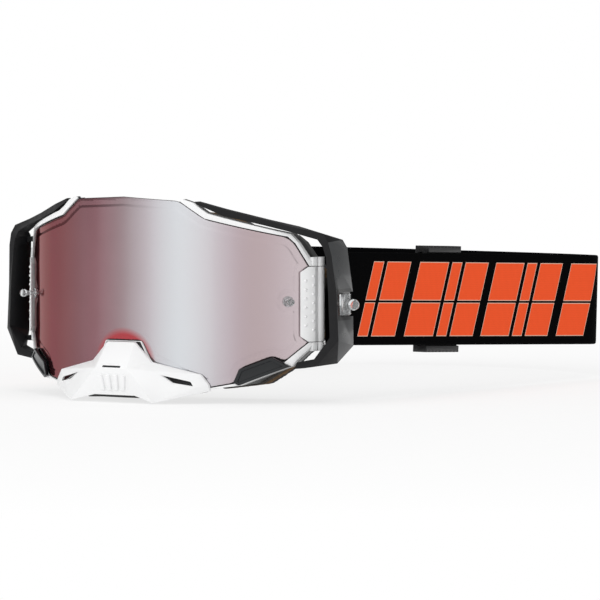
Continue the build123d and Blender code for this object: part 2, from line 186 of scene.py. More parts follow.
class Graph:
    """A node tree, with short calls for the nodes that the finishes share."""

    def __init__(self, tree):
        self.nodes, self.links = tree.nodes, tree.links
        self.coords = self.nodes.new("ShaderNodeTexCoord")

    def feed(self, socket, value):
        """Links a socket to another one, or sets its value."""
        if isinstance(value, bpy.types.NodeSocket):
            self.links.new(value, socket)
        else:
            socket.default_value = value

    def add(self, kind, **sockets):
        node = self.nodes.new(kind)
        for name, value in sockets.items():
            self.feed(node.inputs[name.replace("_", " ")], value)
        return node

    def sum(self, operation, *values):
        node = self.nodes.new("ShaderNodeMath")
        node.operation = operation
        for socket, value in zip(node.inputs, values):
            self.feed(socket, value)
        return node.outputs[0]

    def noise(self, scale, detail):
        place = self.coords.outputs["Object"]
        return self.add("ShaderNodeTexNoise", Scale=scale, Detail=detail, Vector=place).outputs["Fac"]

    def spread(self, value, low, high, start=0.3, end=0.7):
        """A value between start and end, spread from low to high."""
        ends = {"From_Min": start, "From_Max": end, "To_Min": low, "To_Max": high}
        return self.add("ShaderNodeMapRange", Value=value, **ends).outputs["Result"]

    def mix(self, share, first, second):
        """The first colour, and with a growing share the second."""
        node = self.nodes.new("ShaderNodeMix")
        node.data_type = "RGBA"
        self.feed(node.inputs[0], share)
        for index, value in ((6, first), (7, second)):
            self.feed(node.inputs[index], value if isinstance(value, bpy.types.NodeSocket) else (*value, 1))
        return node.outputs[2]

    def blend(self, share, first, second):
        """The first shader, and with a growing share the second."""
        node = self.nodes.new("ShaderNodeMixShader")
        for socket, source in zip(node.inputs, (share, first.outputs[0], second.outputs[0])):
            self.links.new(source, socket)
        return node.outputs[0]

    def place(self):
        """A point's own X, Y and Z."""
        return self.add("ShaderNodeSeparateXYZ", Vector=self.coords.outputs["Object"]).outputs

    def away(self, a, b):
        """How far a point lies from a line, from its places across the line."""
        return self.sum("SQRT", self.sum("ADD", *(self.sum("POWER", side, 2.0) for side in (a, b))))

    def bump(self, height, strength, distance):
        node = self.add("ShaderNodeBump", Strength=strength, Distance=distance, Height=height)
        return node.outputs["Normal"]


class Finish(Graph):
    """A node material."""

    def __init__(self, name, base, roughness, metallic=0.0, specular=0.5):
        self.material = bpy.data.materials.new(name)
        self.material.use_nodes = True
        super().__init__(self.material.node_tree)
        self.shader = self.nodes["Principled BSDF"]
        self.set("Base Color", (*base, 1))
        self.set("Roughness", roughness)
        self.set("Metallic", metallic)
        self.set("Specular IOR Level", specular)
        self.material.diffuse_color = (*base, 1)

    def set(self, socket, value):
        self.shader.inputs[socket].default_value = value

    def plug(self, source, socket):
        self.links.new(source, self.shader.inputs[socket])

    def split_uv(self):
        """The length along and the place across a strap, from its UV map."""
        uv = self.add("ShaderNodeSeparateXYZ", Vector=self.coords.outputs["UV"])
        return uv.outputs["X"], uv.outputs["Y"]

    def weave_on(self, place, printed=lambda ground: ground):
        """Woven elastic: raised ribs and yarns, with painted shade between them."""
        along, across = place
        ribs = self.sum("ABSOLUTE", self.sum("SINE", self.sum("MULTIPLY", along, pi / RIB_PITCH)))
        yarns = self.sum("ABSOLUTE", self.sum("SINE", self.sum("MULTIPLY", across, pi / YARN_PITCH)))
        weave = self.sum("MULTIPLY_ADD", yarns, 0.5, ribs)
        ground = self.mix(self.spread(self.noise(90.0, 3.0), 0.0, 1.0), colours().webbing, WEAVE_LIGHT)
        face = printed(ground)
        # Painted shade: the colour goes towards black in the low places between ribs and yarns.
        self.plug(self.mix(self.spread(weave, 0.25, 0.0, 0.0, 0.9), face, (0.0, 0.0, 0.0)), "Base Color")
        self.plug(self.bump(weave, 0.5, 0.00012), "Normal")


def moulded(
    name, base, roughness, grain=2600.0, depth=0.00002, coat=0.0, shade=0.9, specular=0.5,
    seat_shade=None, socket=None,
):
    """Moulded plastic: a fine grain, slow colour drift and uneven gloss.

    Painted shade round the lens: black behind a radius round an upright axis, up to a distance to the side,
    for the gap round the lens.
    A socket is black within a border round a box on the left.
    """
    f = Finish(name, base, roughness, specular=specular)
    drift = f.noise(38.0, 4.0)
    dark = tuple(c * shade for c in base)
    paint = f.mix(f.spread(drift, 0.0, 1.0), base, dark)
    if seat_shade:
        # Painted shade: the rim goes black behind the lens's front, standing in for the shade in the gap
        # round the lens.
        reach, axis, side = seat_shade
        x, y, _ = f.place()
        away = f.away(x, f.sum("SUBTRACT", y, axis))
        front = f.spread(away, 0.0, 1.0, reach - 0.0002, reach + 0.0002)
        beside = f.sum("GREATER_THAN", f.sum("ABSOLUTE", x), side)
        paint = f.mix(f.sum("MAXIMUM", front, beside), (0.006, 0.006, 0.006), paint)
    if socket:
        low, high, border = socket
        place = f.place()
        outside = f.sum("LESS_THAN", place["X"], 0.0)
        for axis in (1, 2):
            middle, half = (low[axis] + high[axis]) / 2, (high[axis] - low[axis]) / 2 + border
            away = f.sum("ABSOLUTE", f.sum("SUBTRACT", place[axis], middle))
            outside = f.sum("MAXIMUM", outside, f.sum("GREATER_THAN", away, half))
        paint = f.mix(outside, (0.004, 0.004, 0.004), paint)
    f.plug(paint, "Base Color")
    patches = f.noise(210.0, 3.0)
    f.plug(f.spread(patches, roughness * 0.85, min(1.0, roughness * 1.18)), "Roughness")
    f.plug(f.bump(f.noise(grain, 2.0), 0.35, depth), "Normal")
    if coat:
        f.set("Coat Weight", coat)
        f.set("Coat Roughness", 0.08)
    return f.material


def mirror_lens():
    """The mirrored lens: a silver coating with a painted reflection across its width, dark red to the right
    and brightest silver left of the middle, and red round the nose.
    """
    f = Finish("mirror_lens", (0.75, 0.68, 0.7), 0.12, metallic=0.88)
    f.set("Specular Tint", (0.75, 0.25, 0.26, 1))
    x, _, z = f.place()
    low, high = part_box("lens")
    # Painted reflection: this ramp across the lens's width stands in for the studio's reflection, dark red
    # to the right and brightest silver left of the middle.
    ramp = f.add("ShaderNodeValToRGB", Fac=f.spread(x, 0.0, 1.0, low.x, high.x))
    ramp.color_ramp.interpolation = "CARDINAL"
    reflection_stops = (
        (0.0, (0.105, 0.028, 0.035)), (0.15, (0.13, 0.032, 0.045)), (0.24, (0.175, 0.053, 0.06)),
        (0.33, (0.205, 0.088, 0.102)), (0.41, (0.265, 0.135, 0.155)), (0.51, (0.35, 0.275, 0.295)),
        (0.59, (0.53, 0.50, 0.53)), (0.67, (0.665, 0.69, 0.72)), (0.74, (0.65, 0.65, 0.68)),
        (0.78, (0.58, 0.55, 0.58)), (0.83, (0.49, 0.42, 0.45)), (0.88, (0.455, 0.37, 0.385)),
        (0.94, (0.51, 0.43, 0.45)), (1.0, (0.60, 0.53, 0.55)),
    )
    while len(ramp.color_ramp.elements) < len(reflection_stops):
        ramp.color_ramp.elements.new(0.5)
    for element, (share, tone) in zip(ramp.color_ramp.elements, reflection_stops):
        element.position, element.color = share, (*tone, 1)
    haze = f.noise(14.0, 2.0)
    # The painted reflection, with a faint random haze over it.
    reflection_and_haze = f.mix(f.spread(haze, 0.0, 0.06), ramp.outputs["Color"], (0.55, 0.3, 0.3))
    near = f.spread(f.away(x, f.sum("SUBTRACT", z, NOSE_ARCH)), 1.0, 0.0, 0.0145, 0.018)
    f.plug(f.mix(near, reflection_and_haze, (0.42, 0.045, 0.055)), "Base Color")
    f.plug(f.spread(f.noise(60.0, 3.0), 0.10, 0.17), "Roughness")
    f.plug(f.bump(f.noise(22.0, 1.0), 0.08, 0.0004), "Normal")
    f.set("Coat Weight", 0.5)
    f.set("Coat Roughness", 0.04)
    return f.material


def clear_plastic():
    """Clear polycarbonate, with faint flow marks."""
    f = Finish("clear_plastic", colours().clear, 0.06)
    f.set("Transmission Weight", 0.9)
    f.set("IOR", 1.58)
    f.plug(f.spread(f.noise(500.0, 2.0), 0.03, 0.12), "Roughness")
    f.plug(f.bump(f.noise(900.0, 2.0), 0.2, 0.00004), "Normal")
    return f.material


def open_foam(name, base, pore=900.0):
    """Open-cell foam: rounded pores, matt, with painted shade in the hollows."""
    f = Finish(name, base, 0.95, specular=0.15)
    place = f.coords.outputs["Object"]
    depth = f.add("ShaderNodeTexVoronoi", Scale=pore, Vector=place).outputs["Distance"]
    # Painted shade: the colour darkens towards the bottom of each pore.
    dark = tuple(c * 0.35 for c in base)
    f.plug(f.mix(f.spread(depth, 0.0, 1.0, 0.1, 0.6), dark, base), "Base Color")
    f.plug(f.bump(depth, 0.6, 0.0004), "Normal")
    return f.material


def fleece():
    """Brushed fleece: soft, with sheen and short tangled pile."""
    f = Finish("fleece", colours().fleece, 0.9, specular=0.2)
    pile = f.noise(1500.0, 5.0)
    tufts = f.noise(260.0, 3.0)
    light = tuple(c * 2.2 for c in colours().fleece)
    f.plug(f.mix(f.spread(tufts, 0.0, 1.0), colours().fleece, light), "Base Color")
    f.plug(f.bump(f.sum("ADD", pile, tufts), 0.7, 0.0003), "Normal")
    f.set("Sheen Weight", 0.35)
    f.set("Sheen Roughness", 0.45)
    return f.material


def plain_strap():
    """The woven elastic's unprinted side."""
    f = Finish("strap_plain", colours().webbing, 0.9, specular=0.02)
    f.weave_on(f.split_uv())
    return f.material


def printed_strap(total, tail):
    """Woven elastic with slanted printed bars, split by a dark line along the strap."""
    f = Finish("strap_webbing", colours().webbing, 0.9, specular=0.02)
    along, across = f.split_uv()
    behind = f.sum("MINIMUM", along, f.sum("SUBTRACT", total, along))
    behind = f.sum("SUBTRACT", behind, tail)
    slanted = f.sum("MULTIPLY_ADD", across, BAR_SLANT, behind)
    lowest = None
    for start, width in STRAP_BARS:
        middle = (start + width / 2) * MM
        away = f.sum("ABSOLUTE", f.sum("SUBTRACT", slanted, middle))
        inside = f.sum("SUBTRACT", away, width / 2 * MM)
        lowest = inside if lowest is None else f.sum("MINIMUM", lowest, inside)
    band = f.sum("SUBTRACT", f.sum("ABSOLUTE", across), BAR_HALF)
    slit = f.sum("SUBTRACT", SLIT_HALF, f.sum("ABSOLUTE", f.sum("SUBTRACT", across, SLIT_PLACE)))
    edge = f.sum("MAXIMUM", f.sum("MAXIMUM", lowest, band), slit)
    inner = f.sum("LESS_THAN", edge, -OUTLINE)
    outer = f.sum("LESS_THAN", edge, 0.0)
    shown = f.mix(inner, colours().print_edge, colours().print_main)
    f.weave_on((along, across), lambda ground: f.mix(outer, ground, shown))
    return f.material


# Mesh helpers


def add_object(name, mesh, finish, smooth=35.0):
    """Links a finished mesh, shaded smooth up to an angle."""
    piece = bpy.data.objects.new(name, mesh)
    bpy.context.scene.collection.objects.link(piece)
    mesh.materials.clear()
    mesh.materials.append(finish)
    for face in mesh.polygons:
        face.use_smooth = True
        face.material_index = 0
    mesh.set_sharp_from_angle(angle=radians(smooth))
    return piece


def settle(piece, body, nodes=()):
    """Rides a piece on its body and hides the nodes it stands for."""
    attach(piece, body)
    if nodes:
        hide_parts(*nodes)
    return piece


def merged_copy(node):
    """A node's mesh with its doubles merged and its flat faces joined."""
    mesh = bmesh.new()
    mesh.from_mesh(frame["nodes"][node].data)
    bmesh.ops.remove_doubles(mesh, verts=mesh.verts, dist=MERGE)
    bmesh.ops.dissolve_limit(mesh, angle_limit=radians(0.6), verts=mesh.verts, edges=mesh.edges)
    return mesh


def to_mesh(name, work):
    mesh = bpy.data.meshes.new(name)
    work.to_mesh(mesh)
    work.free()
    return mesh


def from_points(name, points, faces):
    mesh = bpy.data.meshes.new(name)
    mesh.from_pydata([tuple(p) for p in points], [], faces)
    mesh.validate()
    return mesh


def rounded(piece, width, segments=2, angle=28.0):
    """Rounds a piece's edges with an applied bevel."""
    bevel = piece.modifiers.new("edges", "BEVEL")
    bevel.width = width
    bevel.segments = segments
    bevel.limit_method = "ANGLE"
    bevel.angle_limit = radians(angle)
    return applied(piece)


def applied(piece, smooth=35.0):
    """Turns a piece with its modifiers into a plain mesh, shaded smooth up to an angle."""
    graph = bpy.context.evaluated_depsgraph_get()
    mesh = bpy.data.meshes.new_from_object(piece.evaluated_get(graph))
    piece.modifiers.clear()
    piece.data = mesh
    for face in mesh.polygons:
        face.use_smooth = True
    mesh.set_sharp_from_angle(angle=radians(smooth))
    return piece


def dressed(node, finish, width, segments=2, angle=28.0):
    """A node's rounded stand-in, riding on the node's own body."""
    name = node + "_shell"
    piece = add_object(name, to_mesh(name, merged_copy(node)), finish)
    rounded(piece, width, segments, angle)
    return settle(piece, BODY_OF[node], [node])


def repeat_tree(name, finish, shape, **inputs):
    """A Geometry Nodes tree that stands copies of a small shape on the points it is given."""
    tree = bpy.data.node_groups.new(name, "GeometryNodeTree")
    tree.interface.new_socket("Geometry", in_out="INPUT", socket_type="NodeSocketGeometry")
    for label, value in inputs.items():
        socket = tree.interface.new_socket(label, in_out="INPUT", socket_type="NodeSocketFloat")
        socket.default_value = value
    tree.interface.new_socket("Geometry", in_out="OUTPUT", socket_type="NodeSocketGeometry")
    start = tree.nodes.new("NodeGroupInput")
    end = tree.nodes.new("NodeGroupOutput")
    copies = tree.nodes.new("GeometryNodeInstanceOnPoints")
    plain = tree.nodes.new("GeometryNodeRealizeInstances")
    paint = tree.nodes.new("GeometryNodeSetMaterial")
    paint.inputs["Material"].default_value = finish
    size = tree.nodes.new("ShaderNodeCombineXYZ")
    join = tree.links.new
    for axis, label in zip("XYZ", list(inputs)[:3]):
        join(start.outputs[label], size.inputs[axis])
    if shape == "dot":
        source = tree.nodes.new("GeometryNodeMeshIcoSphere")
        source.inputs["Subdivisions"].default_value = 2
    else:
        source = tree.nodes.new("GeometryNodeMeshCube")
    turn = tree.nodes.new("GeometryNodeInputNamedAttribute")
    turn.data_type = "FLOAT_VECTOR"
    turn.inputs["Name"].default_value = "turn"
    join(start.outputs["Geometry"], copies.inputs["Points"])
    join(source.outputs["Mesh"], copies.inputs["Instance"])
    join(size.outputs[0], copies.inputs["Scale"])
    join(turn.outputs["Attribute"], copies.inputs["Rotation"])
    join(copies.outputs["Instances"], plain.inputs["Geometry"])
    join(plain.outputs["Geometry"], paint.inputs["Geometry"])
    join(paint.outputs["Geometry"], end.inputs["Geometry"])
    return tree


def repeated(name, places, turns, finish, shape, **inputs):
    """Copies of a dot or a block at places, each turned by its angles."""
    seeds = from_points(name, places, [])
    attribute = seeds.attributes.new("turn", "FLOAT_VECTOR", "POINT")
    attribute.data.foreach_set("vector", [value for turn in turns for value in turn])
    piece = bpy.data.objects.new(name, seeds)
    bpy.context.scene.collection.objects.link(piece)
    grower = piece.modifiers.new("copies", "NODES")
    grower.node_group = repeat_tree(name + "_tree", finish, shape, **inputs)
    for item in grower.node_group.interface.items_tree:
        if item.item_type == "SOCKET" and item.in_out == "INPUT" and item.name in inputs:
            grower[item.identifier] = inputs[item.name]
    return applied(piece, 40.0)


def surface_of(piece):
    """A tree for finding points on a piece's surface."""
    mesh = piece.data
    points = [v.co.copy() for v in mesh.vertices]
    return BVHTree.FromPolygons(points, [tuple(f.vertices) for f in mesh.polygons])


def facing(normal, up=Vector((0, 0, 1))):
    """The turn that lays a copy's Z along a surface's normal and its Y upwards."""
    z = normal.normalized()
    x = up.cross(z).normalized()
    y = z.cross(x)
    return Matrix((x, y, z)).transposed().to_euler()


# The lens's cylinder, and skins that lie on it


def lens_place():
    """The lens's radius and the place of its upright axis."""
    low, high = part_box("lens")
    mesh = frame["nodes"]["lens"].data
    points = np.array([v.co for v in mesh.vertices])
    side = points[points[:, 0] > high.x - 0.00001]
    edge = side[np.argmin(side[:, 1])]
    sag = edge[1] - low.y
    radius = (edge[0] ** 2 + sag**2) / (2 * sag)
    return radius, low.y + radius


def unrolled(point, place):
    radius, axis = place
    return radius * atan2(point[0], axis - point[1]), point[2]


def rolled(s, z, lift, place):
    radius, axis = place
    turn = s / radius
    return (radius + lift) * sin(turn), axis - (radius + lift) * cos(turn), z


def front_loops(node, place, outer):
    """The closed edges of a node's front face, unrolled, the longest first."""
    work = bmesh.new()
    work.from_mesh(frame["nodes"][node].data)
    bmesh.ops.remove_doubles(work, verts=work.verts, dist=MERGE)
    limit = outer - 0.00003
    axis = place[1]
    front = [f for f in work.faces if all(hypot(v.co.x, v.co.y - axis) > limit for v in f.verts)]
    nexts = {}
    for face in front:
        for loop in face.loops:
            others = [f for f in loop.edge.link_faces if f is not face]
            if not any(f in front for f in others):
                nexts[loop.vert] = loop.link_loop_next.vert
    loops = []
    while nexts:
        start, after = next(iter(nexts.items()))
        chain = [start]
        del nexts[start]
        while after is not start:
            chain.append(after)
            after = nexts.pop(after)
        loops.append([unrolled(v.co, place) for v in chain])
    work.free()
    return sorted(loops, key=perimeter, reverse=True)


def path_length(points):
    return sum(dist(a, b) for a, b in zip(points, points[1:]))


def perimeter(loop):
    return path_length(loop + loop[:1])


def divided(a, b, parts):
    """Points from one point up to the next, which is left out."""
    return [(a[0] + (b[0] - a[0]) * i / parts, a[1] + (b[1] - a[1]) * i / parts) for i in range(parts)]


def turned_left(loop):
    """The loop, listed anticlockwise."""
    area = sum(a[0] * b[1] - b[0] * a[1] for a, b in zip(loop, loop[1:] + loop[:1]))
    return loop if area > 0 else loop[::-1]


def corner_turn(a, b, c):
    ux, uy, vx, vy = b[0] - a[0], b[1] - a[1], c[0] - b[0], c[1] - b[1]
    size = max(hypot(ux, uy) * hypot(vx, vy), 1e-15)
    return abs((ux * vy - uy * vx) / size)


def walk(path, distance):
    """The place at a distance along a path, and the number of the point after it."""
    done = 0.0
    for i in range(1, len(path)):
        a, b = path[i - 1], path[i]
        step = dist(a, b)
        if done + step >= distance:
            share = (distance - done) / max(step, 1e-12)
            return (a[0] + (b[0] - a[0]) * share, a[1] + (b[1] - a[1]) * share), i
        done += step
    return path[-1], len(path) - 1


def soft_corners(loop, reach, pieces=6):
    """A loop with its corners rounded, each by a short curve."""
    count = len(loop)
    corners = [
        i for i in range(count) if corner_turn(loop[i - 1], loop[i], loop[(i + 1) % count]) > 0.14
    ]
    if len(corners) < 3:
        return loop
    runs = []
    for a, b in zip(corners, corners[1:] + [corners[0] + count]):
        runs.append([loop[i % count] for i in range(a, b + 1)])
    done = []
    for before, after in zip(runs[-1:] + runs[:-1], runs):
        corner = after[0]
        lengths = [path_length(run) for run in (before, after)]
        cut = [min(reach, 0.45 * size) for size in lengths]
        start, _ = walk(before[::-1], cut[0])
        end, keep = walk(after, cut[1])
        for step in range(pieces + 1):
            t = step / pieces
            done.append(tuple(
                (1 - t) ** 2 * s + 2 * t * (1 - t) * c + t**2 * e for s, c, e in zip(start, corner, end)
            ))
        far = lengths[1] - min(reach, 0.45 * lengths[1])
        past = 0.0
        for i in range(1, len(after)):
            past += dist(after[i - 1], after[i])
            if i >= keep and past < far - 1e-6:
                done.append(after[i])
    return done


def evenly(loop, pitch):
    """A loop with points no further apart than a pitch."""
    done = []
    for a, b in zip(loop, loop[1:] + loop[:1]):
        done += divided(a, b, max(1, int(dist(a, b) / pitch + 0.999)))
    return done


def edge_distance(points, loops):
    """How far each point lies from the nearest edge of the loops."""
    points = np.asarray(points, float)
    best = np.full(len(points), 9.0)
    for loop in loops:
        a = np.asarray(loop, float)
        b = np.roll(a, -1, axis=0)
        ab = b - a
        size = np.maximum((ab**2).sum(1), 1e-18)
        for start in range(0, len(points), 1500):
            p = points[start:start + 1500, None, :]
            share = np.clip(((p - a) * ab).sum(2) / size, 0, 1)
            gap = p - (a + share[..., None] * ab)
            away = np.sqrt((gap**2).sum(2)).min(1)
            best[start:start + 1500] = np.minimum(best[start:start + 1500], away)
    return best


def inside_loop(points, loop):
    points = np.asarray(points, float)
    a = np.asarray(loop, float)
    b = np.roll(a, -1, axis=0)
    inside = np.zeros(len(points), bool)
    for (ax, ay), (bx, by) in zip(a, b):
        if ay == by:
            continue
        cross = (ay > points[:, 1]) != (by > points[:, 1])
        inside ^= cross & (points[:, 0] < (bx - ax) * (points[:, 1] - ay) / (by - ay) + ax)
    return inside


def inset_row(loop, distance, pitch):
    """Points at an even distance inside a loop."""
    fine = evenly(loop, 0.00025)
    count = len(fine)
    made = []
    for i, (x, z) in enumerate(fine):
        ax, az = fine[i - 1]
        bx, bz = fine[(i + 1) % count]
        size = hypot(bx - ax, bz - az)
        made.append((x - (bz - az) / size * distance, z + (bx - ax) / size * distance))
    near = edge_distance(made, [loop])
    kept = []
    for place, away in zip(made, near):
        if away >= distance - 0.00004 and not (kept and dist(place, kept[-1]) < pitch):
            kept.append(place)
    return kept


def skin(name, loop, holes, place, rows, lift, grid, pitch, wall, finish, edge_finish, dark_edge):
    """A shell on the lens's cylinder, inside a loop, lifted by the distance from its edge."""
    loop = turned_left(evenly(loop, pitch))
    holes = [evenly(hole, pitch / 2) for hole in holes]
    points = list(loop)
    edges = [(i, (i + 1) % len(loop)) for i in range(len(loop))]
    for hole in holes:
        first = len(points)
        points += hole
        edges += [(first + i, first + (i + 1) % len(hole)) for i in range(len(hole))]
    for distance in rows:
        row = inset_row(loop, distance, pitch)
        if holes and row:
            clear = edge_distance(row, holes) > pitch
            row = [p for p, ok in zip(row, clear) if ok]
        points += row
    (x0, z0), (x1, z1) = np.min(loop, axis=0), np.max(loop, axis=0)
    xs = np.arange(x0 + grid / 2, x1, grid)
    zs = np.arange(z0 + grid / 2, z1, grid * 0.87)
    net = [(x + (grid / 2 if k % 2 else 0), z) for k, z in enumerate(zs) for x in xs]
    away = edge_distance(net, [loop])
    keep = inside_loop(net, loop) & (away > grid * 0.5)
    for distance in rows:
        keep &= np.abs(away - distance) > grid * 0.45
    if holes:
        keep &= edge_distance(net, holes) > grid * 0.5
        for hole in holes:
            keep &= ~inside_loop(net, hole)
    points += [p for p, ok in zip(net, keep) if ok]
    made = delaunay_2d_cdt([Vector(p) for p in points], edges, [], 1, 1e-8)
    flat = [(v.x, v.y) for v in made[0]]
    faces = made[2]
    middles = [tuple(np.mean([flat[i] for i in face], axis=0)) for face in faces]
    keep = inside_loop(middles, loop)
    for hole in holes:
        keep &= ~inside_loop(middles, hole)
    faces = [face for face, ok in zip(faces, keep) if ok]
    gap = edge_distance(flat, [loop] + holes)
    placed = [rolled(s, z, lift(d), place) for (s, z), d in zip(flat, gap)]
    mesh = from_points(name, placed, faces)
    work = bmesh.new()
    work.from_mesh(mesh)
    bmesh.ops.delete(work, geom=[v for v in work.verts if not v.link_faces], context="VERTS")
    work.faces.ensure_lookup_table()
    probe = work.faces[0]
    middle = probe.calc_center_median()
    if probe.normal.dot(Vector((middle.x, middle.y - place[1], 0))) < 0:
        bmesh.ops.reverse_faces(work, faces=work.faces)
    work.to_mesh(mesh)
    work.free()
    piece = add_object(name, mesh, finish)
    mesh.materials.append(edge_finish)
    depth = edge_distance([unrolled(face.center, place) for face in mesh.polygons], [loop])
    for face, away in zip(mesh.polygons, depth):
        face.material_index = 1 if away < dark_edge else 0
    thick = piece.modifiers.new("wall", "SOLIDIFY")
    thick.thickness = wall
    thick.offset = -1
    thick.material_offset_rim = 1
    return applied(piece)


def stepped(border, ramp, drop, edge, roll):
    """A height profile: rounded edge, flat border, slope, flat middle."""
    def lift(d):
        height = 0.0 if d > border + ramp else -drop
        if border < d <= border + ramp:
            share = (d - border) / ramp
            height = -drop * (1 - share)
        if d < edge:
            height -= roll * (1 - sqrt(max(0.0, 1 - (1 - d / edge) ** 2)))
        return height
    return lift


# The strap's path


def strap_path():
    """The strap's middle line from above, tail to tail, its bar and the radius of its turns."""
    s = sizes()
    low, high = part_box("strap_bar_left")
    bar = Vector((low.x + high.x, low.y + high.y, low.z + high.z)) / 2
    outer_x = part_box("strap_webbing")[1].x - s.strap_wall / 2
    turn = outer_x - bar.x
    inner_x = bar.x - turn
    corner_x, corner_y = outer_x - s.strap_corner, bar.y + s.strap_straight
    path = []

    def line(a, b, step=0.003):
        path.extend(divided(a, b, max(2, int(dist(a, b) / step))))

    def curve(cx, cy, radius, start, end, parts):
        for i in range(parts):
            turn_now = radians(start + (end - start) * i / parts)
            path.append((cx + radius * cos(turn_now), cy + radius * sin(turn_now)))

    bend = s.strap_bend
    joint_y = corner_y + s.strap_corner * sin(bend)
    rear = corner_x / cos(bend) + s.strap_corner
    line((inner_x, bar.y + s.strap_tail), (inner_x, bar.y))
    curve(bar.x, bar.y, turn, 180, 360, 14)
    line((outer_x, bar.y), (outer_x, corner_y))
    curve(corner_x, corner_y, s.strap_corner, 0, degrees(bend), 14)
    curve(0, joint_y - rear * sin(bend), rear, degrees(bend), 90, 16)
    path += [(-x, y) for x, y in reversed(path)]
    clean = [path[0]]
    for point in path[1:]:
        if dist(point, clean[-1]) > 0.00005:
            clean.append(point)
    return clean, bar, turn


def fallen(x, y, z, bar):
    """Turns a point of the strap about the bars by the strap's fall."""
    fall = -sizes().strap_fall
    dy, dz = y - bar.y, z - bar.z
    return x, bar.y + dy * cos(fall) - dz * sin(fall), bar.z + dy * sin(fall) + dz * cos(fall)


def webbing(name, path, bar, wall, width, finishes, tail):
    """A woven band along a path, with thick round selvedges and its length in its UV map."""
    half, flat = width / 2, 24
    core = half - SELVEDGE
    section = [-half + SELVEDGE + (width - 2 * SELVEDGE) * i / flat for i in range(flat + 1)]
    outline = [(across, wall / 2, False) for across in section]
    for side, row in ((1, ((across, -wall / 2, True) for across in reversed(section))), (-1, ())):
        for step in range(1, 6):
            angle = radians(side * 90 - 30 * step)
            outline.append((side * core + SELVEDGE * cos(angle), wall / 2 * sin(angle), False))
        outline += row
    points, along, lengths = [], 0.0, []
    for i, (x, y) in enumerate(path):
        ax, ay = path[max(0, i - 1)]
        bx, by = path[min(len(path) - 1, i + 1)]
        size = hypot(bx - ax, by - ay)
        nx, ny = (by - ay) / size, -(bx - ax) / size
        if i:
            along += dist(path[i - 1], path[i])
        lengths.append(along)
        for across, lift, _ in outline:
            points.append(fallen(x + nx * lift, y + ny * lift, bar.z + across, bar))
    ring = len(outline)
    faces, uvs, inner = [], [], []
    for i in range(len(path) - 1):
        for j in range(ring):
            k = (j + 1) % ring
            faces.append((i * ring + j, i * ring + k, (i + 1) * ring + k, (i + 1) * ring + j))
            uvs += [
                (lengths[i], outline[j][0]), (lengths[i], outline[k][0]),
                (lengths[i + 1], outline[k][0]), (lengths[i + 1], outline[j][0]),
            ]
            tail_part = lengths[i] < tail or lengths[i] > along - tail
            inner.append(1 if tail_part or outline[j][2] or outline[k][2] else 0)
    for first in (0, (len(path) - 1) * ring):
        cap = tuple(range(first, first + ring))
        faces.append(cap if first == 0 else cap[::-1])
        uvs += [(along, outline[j - first][0]) for j in faces[-1]]
        inner.append(1)
    mesh = bpy.data.meshes.new(name)
    mesh.from_pydata(points, [], faces)
    layer = mesh.uv_layers.new(name="weave")
    layer.data.foreach_set("uv", [value for uv in uvs for value in uv])
    work = bmesh.new()
    work.from_mesh(mesh)
    bmesh.ops.recalc_face_normals(work, faces=work.faces)
    work.to_mesh(mesh)
    work.free()
    piece = add_object(name, mesh, finishes[0], 60)
    mesh.materials.append(finishes[1])
    for face, side in zip(mesh.polygons, inner):
        face.material_index = side
    return piece, along


def soft_foam(name, node, finish, voxel, rounds):
    """Foam with rounded edges: remeshed, relaxed, and with an uneven skin."""
    work = bmesh.new()
    work.from_mesh(frame["nodes"][node].data)
    bmesh.ops.remove_doubles(work, verts=work.verts, dist=MERGE)
    piece = add_object(name, to_mesh(name, work), finish)
    remesh = piece.modifiers.new("cells", "REMESH")
    remesh.mode = "VOXEL"
    remesh.voxel_size = voxel
    relax = piece.modifiers.new("relax", "SMOOTH")
    relax.factor = 0.5
    relax.iterations = rounds
    applied(piece)
    mesh = piece.data
    places = np.array([v.co for v in mesh.vertices])
    normals = np.array([v.normal for v in mesh.vertices])
    swell = [
        noise.noise(Vector(p) * 260) * 0.00012 + noise.noise(Vector(p) * 70) * 0.00018 for p in places
    ]
    mesh.vertices.foreach_set("co", (places + normals * np.array(swell)[:, None]).ravel())
    mesh.materials.clear()
    mesh.materials.append(finish)
    for face in mesh.polygons:
        face.use_smooth = True
        face.material_index = 0
    settle(piece, BODY_OF[node], [node])


# Operators, one for each piece or group of like pieces


def area_light(name, place, aim, width, height, power):
    """A soft light that gives shade but no hard-edged reflection of itself."""
    lamp = bpy.data.lights.new(name, "AREA")
    lamp.shape = "RECTANGLE"
    lamp.size, lamp.size_y = width, height
    lamp.energy = power
    piece = bpy.data.objects.new(name, lamp)
    bpy.context.scene.collection.objects.link(piece)
    piece.location = place
    piece.visible_glossy = False
    piece.rotation_euler = (Vector(place) - Vector(aim)).to_track_quat("Z", "Y").to_euler()
    return piece


def around(azimuth, elevation, distance):
    """A place round the goggles: azimuth 0 is in front, elevation above the horizon."""
    a, e = radians(azimuth), radians(elevation)
    return Vector((sin(a) * cos(e), -cos(a) * cos(e), sin(e))) * distance


